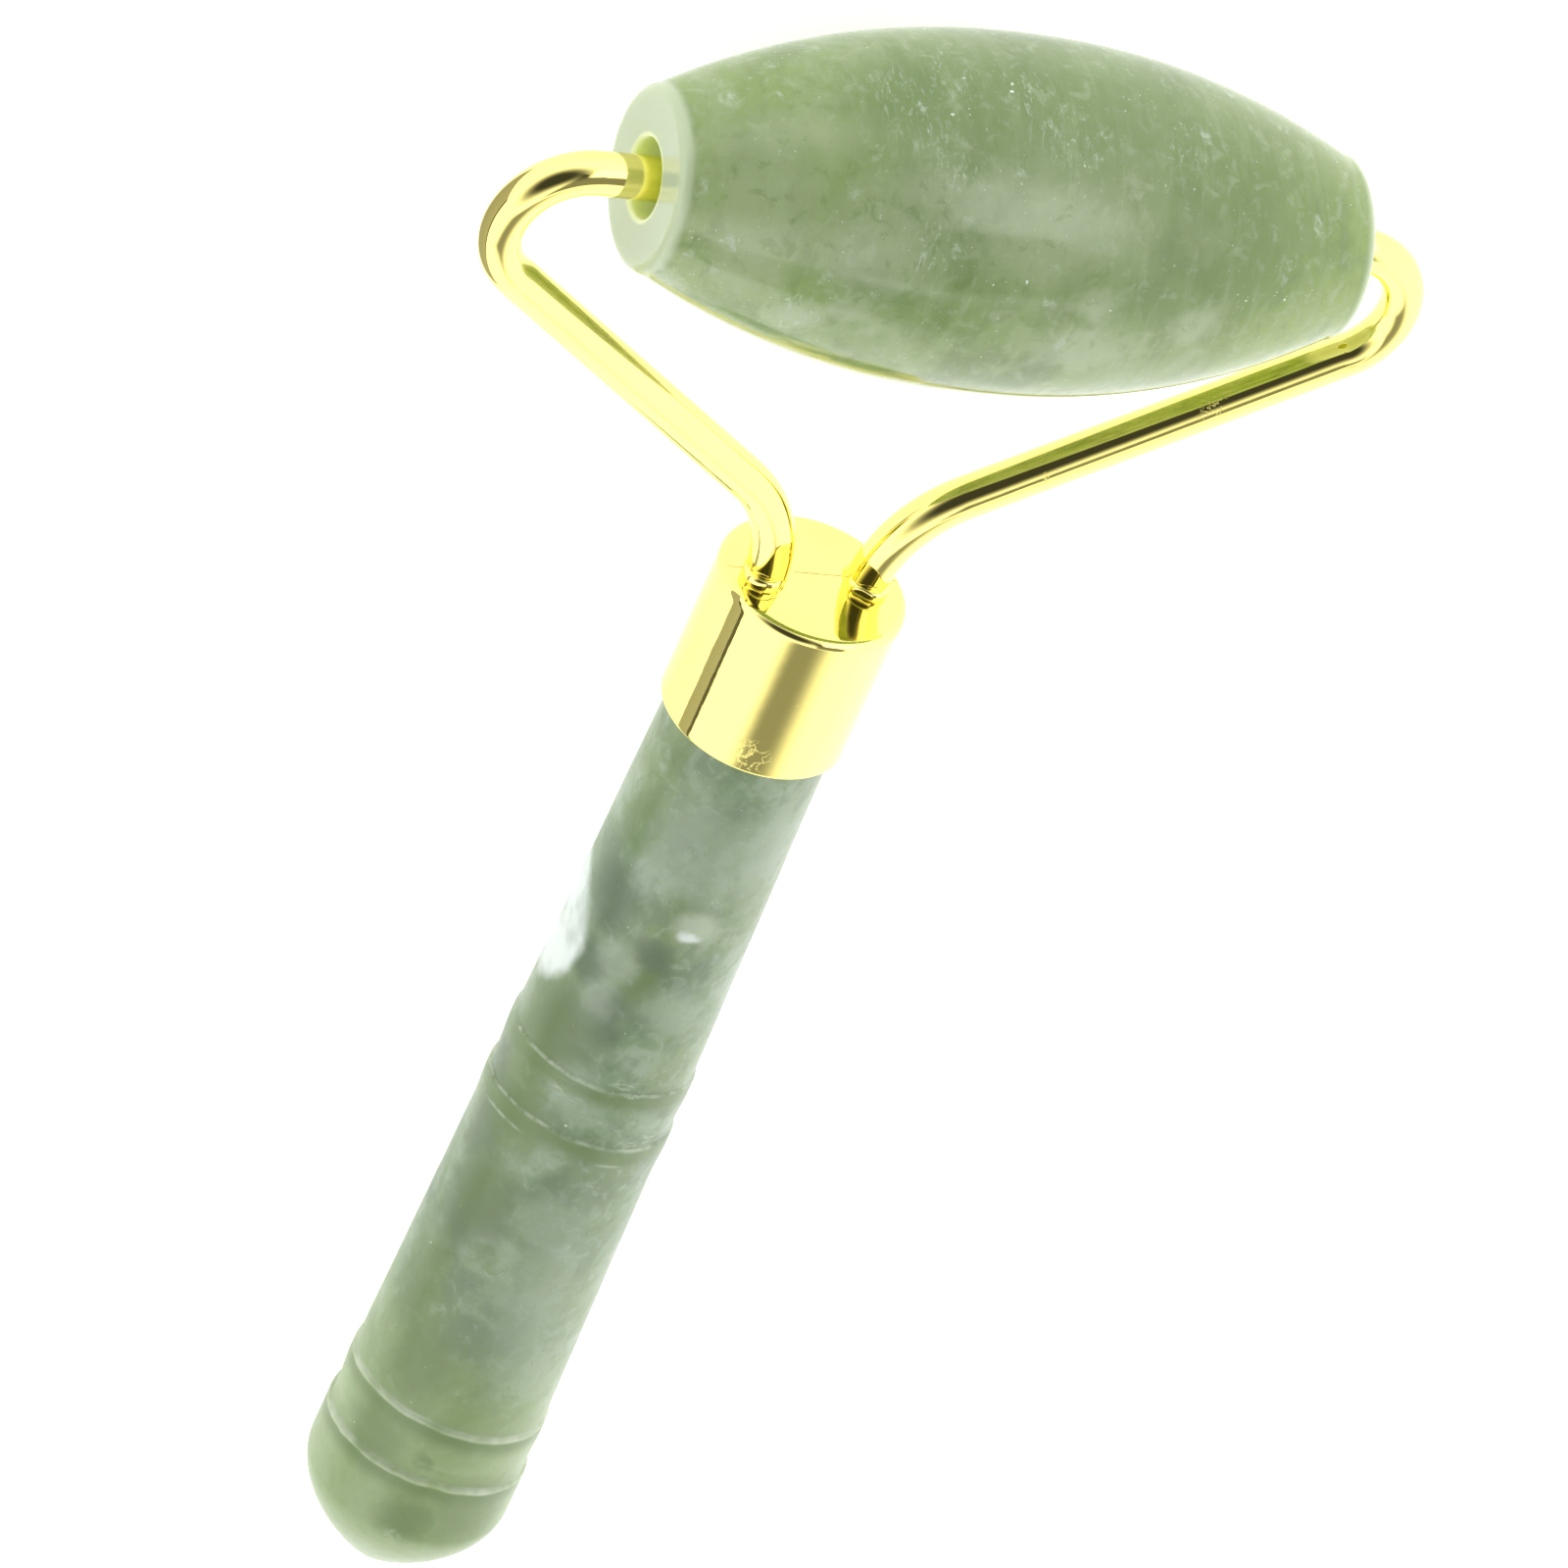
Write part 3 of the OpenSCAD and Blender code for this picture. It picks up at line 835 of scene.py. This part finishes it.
def make_handle_stone():
    tenon = [(0, TENON_START)] + [(r, TENON_START) for r in (2, 4, TENON_R - 0.3)]
    tenon += arc((TENON_R - 0.3, TENON_START + 0.3), 0.3, -90, 0, 4)[1:]
    tenon += [(TENON_R, d) for d in np.linspace(TENON_START + 1, ferrule_len, 16)[:-1]]
    places = np.arange(ferrule_len, shoulder, 0.5)
    for ring in rings:
        close = np.arange(ring - 0.9, ring + 2.0, 0.07)
        places = np.concatenate([places, close])
    places = np.unique(np.round(places[places < shoulder], 3))
    body = [(float(handle_radius(d)), d) for d in places]
    reached = np.linspace(0, 1, 60)[:-1] ** 0.9
    point = [(band_r * (1 - u ** POINT_ROUND) ** POINT_POWER, shoulder + POINT_LEN * u)
             for u in reached]
    outline = tenon + body + point + [(0, tip)]

    def shift(angle, radius, along):
        x, y = radius * np.cos(angle), radius * np.sin(angle)
        outside = smooth(along, ferrule_len, ferrule_len + 1) * smooth(radius, 0.5, 3)
        waves = 0.03 * bumpy(x, along, y, 9.0, 21) + 0.008 * bumpy(x, along, y, 2.5, 22)
        onwards = 0 * along
        facing = np.maximum(np.cos(angle - SAG_ANGLE), 0)
        for i, ring in enumerate(rings):
            near = smooth(np.abs(along - ring), 3, 1)
            uneven = 0.2 * bumpy(x, y, 0 * along, 6.0, 30 + i)
            uneven = uneven + 0.1 * bumpy(x, y, 0 * along, 1.3, 50 + i)
            onwards = onwards + near * (uneven - RING_SAG[i] * facing)
        return outside * waves, onwards

    segments = 320
    points, faces = lathe(outline, segments, "down", shift=shift)
    along = np.array([d for _, d in outline[1:-1]])[:, None]
    angle = np.linspace(0, 2 * math.pi, segments, endpoint=False)[None, :]
    # pale wear lines above 0 and painted groove shade below 0, one value a point
    ring_marks = np.append(ring_wear_and_shade(along, angle).ravel(), [0, 0])
    return piece("handle_stone_polished", points, faces, FORK, HANDLE,
                 "handle_stone", HANDLE_JADE, ring_marks=ring_marks)


make_roller_stone()
for side in (-1, 1):
    make_bush(side)
    make_arm(side)
    make_solder(side)
make_ferrule()
make_handle_stone()
frame["nodes"]["glue"].data.materials.clear()
frame["nodes"]["glue"].data.materials.append(EPOXY)


# ------------------------------------------------------------------ floor, light and camera
# Half the floor's width, in metres
FLOOR_HALF = 6.0
# Cards on the floor: name, lowest and highest x in millimetres, and tone
CARDS = (("card_grey", -120, -36, 0.4), ("card_black", -420, -120, 0.02))
CARD_LOW_Y = -450
CARD_HIGH_Y = 60
CARD_HEIGHT = 0.4
# Brightness of each part of the studio, and the direction of its dark figure
TENT_LEVEL = 1.8
STRIP_LEVEL = 0.34
GAP_LEVEL = 0.28
FIGURE_LEVEL = 0.03
LAMP_LEVEL = 2.3
BACKDROP_LEVEL = 1.0
FIGURE_TOWARDS = (-0.411, 0.578, 0.705)
WHITE = (1, 1, 1, 1)


def make_floor():
    mesh = bpy.data.meshes.new("floor")
    half = FLOOR_HALF
    corners = [(-half, -half, 0), (half, -half, 0), (half, half, 0), (-half, half, 0)]
    mesh.from_pydata(corners, [], [(0, 1, 2, 3)])
    mesh.materials.append(pale_floor())
    floor = bpy.data.objects.new("floor", mesh)
    bpy.context.scene.collection.objects.link(floor)


def make_cards():
    """A grey card and a wider black one on the floor at -X, seen only by glossy rays."""
    for name, low_x, high_x, grey in CARDS:
        mesh = bpy.data.meshes.new(name)
        corners = [
            (low_x, CARD_LOW_Y, CARD_HEIGHT), (high_x, CARD_LOW_Y, CARD_HEIGHT),
            (high_x, CARD_HIGH_Y, CARD_HEIGHT), (low_x, CARD_HIGH_Y, CARD_HEIGHT),
        ]
        mesh.from_pydata([tuple(v * MM for v in corner) for corner in corners], [], [(0, 1, 2, 3)])
        g = Graph(bpy.data.materials.new(name))
        felt = g.noise(g.place(), 1.0, 3, 0.6)
        colour = g.ramp(felt, [(0.3, (grey * 0.95,) * 3), (0.7, (grey,) * 3)])
        mesh.materials.append(g.surface(Base_Color=colour, Roughness=0.9))
        card = bpy.data.objects.new(name, mesh)
        card.visible_camera = False
        card.visible_diffuse = False
        card.visible_transmission = False
        card.visible_shadow = False
        bpy.context.scene.collection.objects.link(card)


def make_studio():
    """A white light tent with a dim strip, a dark gap, a square lamp and a dark figure.

    They are there for the gilding's reflections. The camera sees plain white behind everything.
    """
    world = bpy.data.worlds.new("studio")
    bpy.context.scene.world = world
    g = Graph(world)
    towards = g.add("ShaderNodeTexCoord").outputs["Generated"]
    x, y, z = g.axes(towards)
    strip = g.both(
        g.step(x, -0.6, -0.16), g.step(x, 0.62, -0.08),
        g.step(y, -0.8, -0.68), g.step(y, -0.28, -0.42),
    )
    level = g.step(strip, 0.0, 1.0, TENT_LEVEL, STRIP_LEVEL)
    above = g.maths("SUBTRACT", y, g.maths("MULTIPLY_ADD", x, 0.1, -0.292))
    below = g.maths("SUBTRACT", g.maths("MULTIPLY_ADD", x, -0.9, 0.699), y)
    gap = g.both(g.step(above, -0.07, 0.07), g.step(below, -0.07, 0.07),
                 g.step(x, -0.1, 0.1), g.step(x, 0.62, 0.44))
    level = g.maths("MINIMUM", level, g.step(gap, 0.0, 1.0, TENT_LEVEL, GAP_LEVEL))
    figure = g.vector("DOT_PRODUCT", towards, FIGURE_TOWARDS)
    level = g.both(level, g.step(figure, 0.97, 0.68, FIGURE_LEVEL, 1.0))
    lamp = g.both(
        g.step(g.maths("ABSOLUTE", g.maths("SUBTRACT", x, 0.41)), 0.31, 0.19),
        g.step(g.maths("ABSOLUTE", g.maths("SUBTRACT", y, 0.6)), 0.28, 0.16),
        g.step(z, 0.0, 0.2),
    )
    level = g.maths("MAXIMUM", level, g.both(lamp, LAMP_LEVEL))
    tent = g.add("ShaderNodeBackground", Color=WHITE, Strength=level)
    backdrop = g.add("ShaderNodeBackground", Color=WHITE, Strength=BACKDROP_LEVEL)
    seen = g.add("ShaderNodeLightPath").outputs["Is Camera Ray"]
    either = g.add("ShaderNodeMixShader")
    g.put(either.inputs[0], seen)
    g.tree.links.new(tent.outputs[0], either.inputs[1])
    g.tree.links.new(backdrop.outputs[0], either.inputs[2])
    out = g.add("ShaderNodeOutputWorld")
    g.tree.links.new(either.outputs[0], out.inputs["Surface"])


def make_camera():
    """A long lens from above the roller stone's left end, with the picture turned.

    Angles, distance, aim and lens are the result of the fit to the photo's outline.
    """
    azimuth, elevation, roll = map(math.radians, (-144.578, 44.835, 158.049))
    distance = 1.0378
    aim = Vector((4.632, 6.006, 9.677)) * MM
    back = Vector((math.sin(azimuth) * math.cos(elevation),
                   -math.cos(azimuth) * math.cos(elevation), math.sin(elevation)))
    right = Vector((0, 0, 1)).cross(back).normalized()
    up = back.cross(right)
    upright = Matrix((right, up, back)).transposed()
    data = bpy.data.cameras.new("camera")
    data.sensor_width = 36
    data.lens = 353.8
    data.clip_end = 20
    camera = bpy.data.objects.new("camera", data)
    turned = upright.to_4x4() @ Matrix.Rotation(roll, 4, "Z")
    camera.matrix_world = Matrix.Translation(aim + back * distance) @ turned
    bpy.context.scene.collection.objects.link(camera)
    bpy.context.scene.camera = camera


make_floor()
make_cards()
make_studio()
make_camera()
bpy.context.scene.view_settings.view_transform = "Standard"
